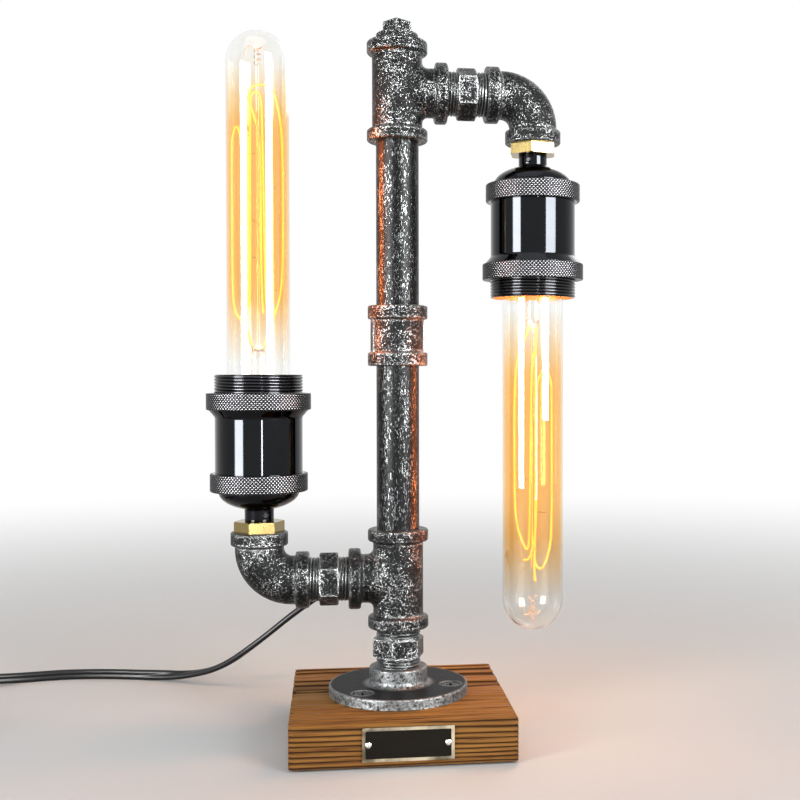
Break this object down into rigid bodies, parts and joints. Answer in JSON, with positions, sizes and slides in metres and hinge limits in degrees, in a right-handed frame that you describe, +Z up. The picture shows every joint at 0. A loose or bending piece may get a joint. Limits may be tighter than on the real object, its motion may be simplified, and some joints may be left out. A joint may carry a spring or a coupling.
{
  "type": "table lamp",
  "caption": "Table lamp of iron pipe fittings on a wooden block: a column with two short arms whose heads swivel and hold tubular bulbs, one up and one down, with a switch on the cord.",
  "frame": {"origin": "on the column's axis at the surface that the lamp stands on", "axes": "+Z up, +X along the upper arm, -Y to the nameplate at the front"},
  "size_m": [0.3997, 0.2729, 0.357],
  "materials": {
    "wood": "brushed and flamed softwood, satin, dark open grain",
    "felt": "black felt",
    "nameplate": "champagne metal with a black enamel field",
    "bright_pins": "polished",
    "cast_fitting": "blackened cast iron, dry-brushed with silver",
    "pipe": "black steel pipe, rubbed with silver, satin gloss",
    "black_screws": "black oxide",
    "bright_brass": "bright machined brass",
    "black_nickel": "black nickel plated aluminium, mirror polished",
    "nickel": "nickel plated",
    "ceramic": "unglazed ceramic",
    "amber_glass": "clear glass with an amber tint",
    "clear_glass": "clear glass",
    "filament": "glowing carbon filament",
    "cord": "glossy black PVC",
    "black_rubber": "satin black moulding",
    "switch_black": "glossy black moulding",
    "lead_sheath": "heat-proof sleeve"
  },
  "bodies": {
    "stand": {"base_block": "wood", "felt_pads": "felt", "nameplate": "nameplate", "nameplate_pins": "bright_pins", "floor_flange": "cast_fitting", "flange_screws": "black_screws", "base_nipple": "cast_fitting", "lower_tee": "cast_fitting", "lower_pipe": "pipe", "coupling": "cast_fitting", "upper_pipe": "pipe", "lower_arm_nipple": "cast_fitting", "cord_gland": "black_rubber", "splice_caps": "lead_sheath", "supply_leads": "lead_sheath", "cord_lead": "cord", "cord_link": "cord", "cord_coil": "cord", "cord_tail": "cord", "switch_base": "switch_black", "switch_cover": "switch_black", "switch_screws": "black_screws", "plug_body": "black_rubber", "plug_pins": "nickel"},
    "upper_arm": {"upper_tee": "cast_fitting", "top_plug": "cast_fitting", "upper_arm_nipple": "cast_fitting", "upper_arm_leads": "lead_sheath"},
    "lower_head": {"lower_elbow": "cast_fitting", "lower_bushing": "bright_brass", "lower_neck_tube": "bright_brass", "lower_holder_cap": "black_nickel", "lower_holder_shell": "black_nickel", "lower_socket_core": "ceramic", "lower_screw_sleeve": "nickel", "lower_centre_contact": "bright_brass", "lower_head_leads": "lead_sheath"},
    "upper_head": {"upper_elbow": "cast_fitting", "upper_bushing": "bright_brass", "upper_neck_tube": "bright_brass", "upper_holder_cap": "black_nickel", "upper_holder_shell": "black_nickel", "upper_socket_core": "ceramic", "upper_screw_sleeve": "nickel", "upper_centre_contact": "bright_brass", "upper_head_leads": "lead_sheath"},
    "lower_ring": {"lower_shade_ring": "black_nickel"},
    "upper_ring": {"upper_shade_ring": "black_nickel"},
    "lower_bulb": {"lower_bulb_glass": "amber_glass", "lower_bulb_cap": "nickel", "lower_bulb_contact": "nickel", "lower_bulb_stem": "clear_glass", "lower_bulb_filament": "filament"},
    "upper_bulb": {"upper_bulb_glass": "amber_glass", "upper_bulb_cap": "nickel", "upper_bulb_contact": "nickel", "upper_bulb_stem": "clear_glass", "upper_bulb_filament": "filament"},
    "rocker": {"switch_rocker": "switch_black"}
  },
  "joints": [
    {"name": "lower_head_swivel", "type": "hinge", "parent": "stand", "child": "lower_head", "pos_m": [-0.0685, 0, 0.0791], "axis": [1, 0, 0], "range_deg": [-60, 60]},
    {"name": "upper_arm_swing", "type": "hinge", "parent": "stand", "child": "upper_arm", "pos_m": [0, 0, 0.3216], "axis": [0, 0, 1], "range_deg": [-60, 60]},
    {"name": "upper_head_swivel", "type": "hinge", "parent": "upper_arm", "child": "upper_head", "pos_m": [0.0685, 0, 0.3216], "axis": [1, 0, 0], "range_deg": [-60, 60]},
    {"name": "lower_bulb_out", "type": "slide", "parent": "lower_head", "child": "lower_bulb", "axis": [0, 0, 1], "range_m": [0, 0.06]},
    {"name": "upper_bulb_out", "type": "slide", "parent": "upper_head", "child": "upper_bulb", "axis": [0, 0, -1], "range_m": [0, 0.028]},
    {"name": "lower_ring_off", "type": "slide", "parent": "lower_head", "child": "lower_ring", "axis": [0, 0, 1], "range_m": [0, 0.02]},
    {"name": "upper_ring_off", "type": "slide", "parent": "upper_head", "child": "upper_ring", "axis": [0, 0, -1], "range_m": [0, 0.02]},
    {"name": "switch_press", "type": "hinge", "parent": "stand", "child": "rocker", "pos_m": [-0.26374, 0.08896, 0.01], "axis": [-0.7431, 0.6691, 0], "range_deg": [0, 16]}
  ]
}
